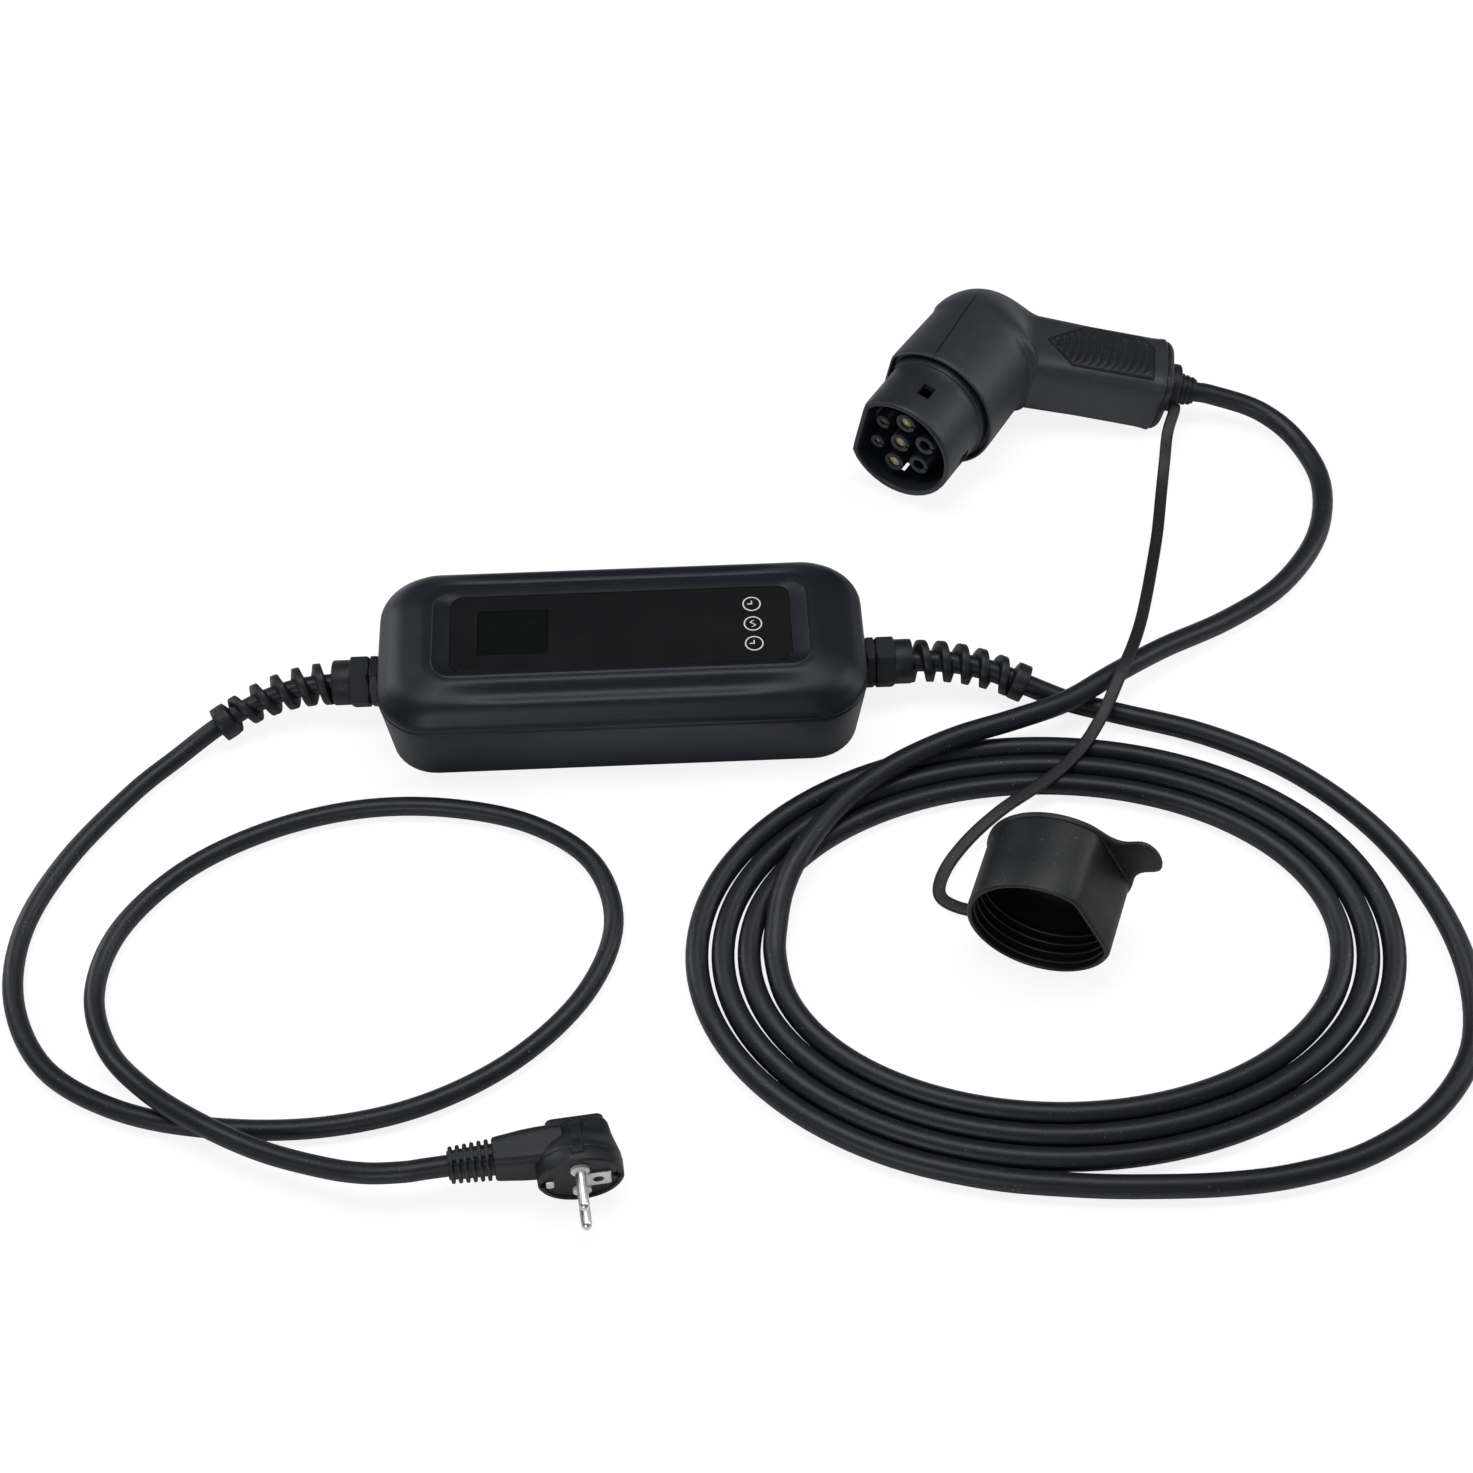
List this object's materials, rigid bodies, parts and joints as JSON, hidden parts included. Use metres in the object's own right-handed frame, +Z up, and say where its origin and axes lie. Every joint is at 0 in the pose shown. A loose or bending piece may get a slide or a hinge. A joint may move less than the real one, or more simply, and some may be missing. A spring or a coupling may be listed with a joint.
{
  "type": "portable electric vehicle charger",
  "caption": "Portable charging set: control box with display and touch keys, mains lead with a two-pin earthed plug, and a coiled vehicle lead with a hand-held connector and dust cap.",
  "frame": {"origin": "middle of the control box's base, on the table", "axes": "+X along the control box towards the vehicle cable, +Y across it, away from the coils, +Z up"},
  "size_m": [0.6955, 0.5404, 0.074],
  "materials": {
    "shell_black": "satin, fine grain",
    "gloss_black": "gloss",
    "display_dark": "gloss",
    "cable_rubber": "matte",
    "soft_black": "matte",
    "nickel": "bright plate",
    "brass": "plain",
    "collar_white": "plain",
    "board_green": "plain",
    "module_dark": "plain"
  },
  "bodies": {
    "root": {"box_base": "shell_black", "box_cover": "shell_black", "cover_seal": "soft_black", "front_panel": "gloss_black", "display_window": "display_dark", "display_module": "display_dark", "touch_pads": "nickel", "display_board": "board_green", "power_board": "board_green", "main_relays": "module_dark", "supply_module": "module_dark", "leakage_sensor": "module_dark", "capacitors": "module_dark", "mains_terminals": "module_dark", "vehicle_terminals": "module_dark", "cover_screws": "nickel", "mains_gland_body": "shell_black", "mains_gland_seal": "soft_black", "mains_gland_nut": "soft_black", "mains_gland_locknut": "shell_black", "vehicle_gland_body": "shell_black", "vehicle_gland_seal": "soft_black", "vehicle_gland_nut": "soft_black", "vehicle_gland_locknut": "shell_black", "mains_cable": "cable_rubber", "vehicle_cable_lead": "cable_rubber", "vehicle_cable_coil": "cable_rubber", "vehicle_cable_tail": "cable_rubber", "plug_body": "soft_black", "plug_pins": "nickel", "plug_collars": "collar_white", "plug_earth_socket": "nickel", "plug_earth_clip": "nickel", "connector_nose": "shell_black", "contact_carrier": "shell_black", "contact_line": "brass", "contact_neutral": "brass", "contact_earth": "brass", "contact_pilot": "brass", "contact_proximity": "brass", "connector_hood": "shell_black", "connector_handle": "shell_black", "grip_left": "soft_black", "grip_right": "soft_black", "handle_end_cap": "soft_black", "cable_boot": "soft_black", "strap_ring": "soft_black", "cap_strap": "soft_black", "dust_cap": "soft_black"}
  },
  "joints": []
}
